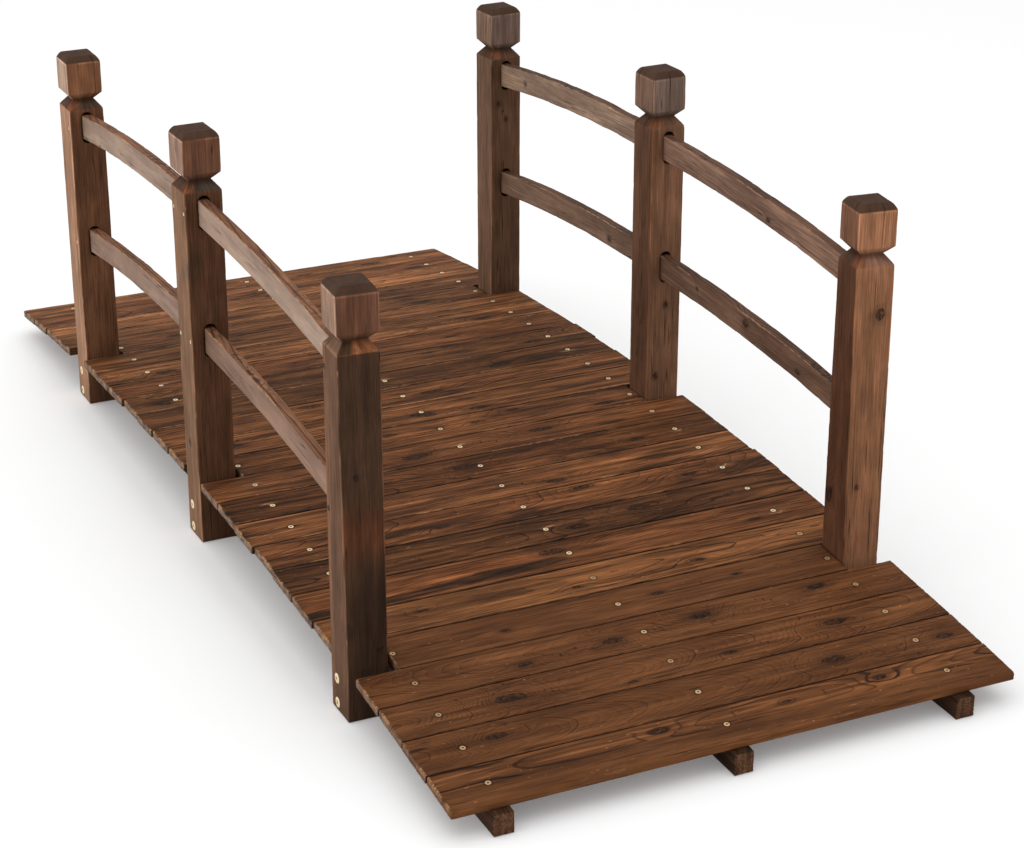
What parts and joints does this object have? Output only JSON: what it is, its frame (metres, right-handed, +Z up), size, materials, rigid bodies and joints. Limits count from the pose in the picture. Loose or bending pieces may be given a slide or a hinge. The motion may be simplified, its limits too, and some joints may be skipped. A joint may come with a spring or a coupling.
{
  "type": "moon bridge",
  "caption": "Low arched wooden garden footbridge: plank deck on arched beams, square posts with grooved necks and chamfered heads, curved side rails set in slotted mortises.",
  "frame": {"origin": "on the ground under the middle of the bridge", "axes": "+X along the walkway to the front end, -Y to the left railing, +Y to the right railing, +Z up"},
  "size_m": [1.512, 0.66, 0.504],
  "materials": {
    "deck_wood": "charred and stained softwood, brushed grain, matt",
    "post_wood": "dark stained softwood, matt",
    "rail_wood": "greyed brown stained softwood, matt",
    "beam_wood": "rough sawn stained softwood, matt",
    "brass_screws": "yellow zinc plated, satin"
  },
  "bodies": {
    "root": {"deck_plank_01": "deck_wood", "deck_plank_02": "deck_wood", "deck_plank_03": "deck_wood", "deck_plank_04": "deck_wood", "deck_plank_05": "deck_wood", "deck_plank_06": "deck_wood", "deck_plank_07": "deck_wood", "deck_plank_08": "deck_wood", "deck_plank_09": "deck_wood", "deck_plank_10": "deck_wood", "deck_plank_11": "deck_wood", "deck_plank_12": "deck_wood", "deck_plank_13": "deck_wood", "deck_plank_14": "deck_wood", "deck_plank_15": "deck_wood", "deck_plank_16": "deck_wood", "deck_plank_17": "deck_wood", "deck_plank_18": "deck_wood", "deck_plank_19": "deck_wood", "deck_plank_20": "deck_wood", "deck_plank_21": "deck_wood", "deck_plank_22": "deck_wood", "deck_plank_23": "deck_wood", "deck_plank_24": "deck_wood", "deck_plank_25": "deck_wood", "lower_rail_back_left": "rail_wood", "lower_rail_back_right": "rail_wood", "lower_rail_front_left": "rail_wood", "lower_rail_front_right": "rail_wood", "post_back_left": "post_wood", "post_back_right": "post_wood", "post_front_left": "post_wood", "post_front_right": "post_wood", "post_middle_left": "post_wood", "post_middle_right": "post_wood", "post_screws_left": "brass_screws", "post_screws_right": "brass_screws", "stringer_centre": "beam_wood", "stringer_left": "beam_wood", "stringer_right": "beam_wood", "upper_rail_back_left": "rail_wood", "upper_rail_back_right": "rail_wood", "upper_rail_front_left": "rail_wood", "upper_rail_front_right": "rail_wood"}
  },
  "joints": []
}
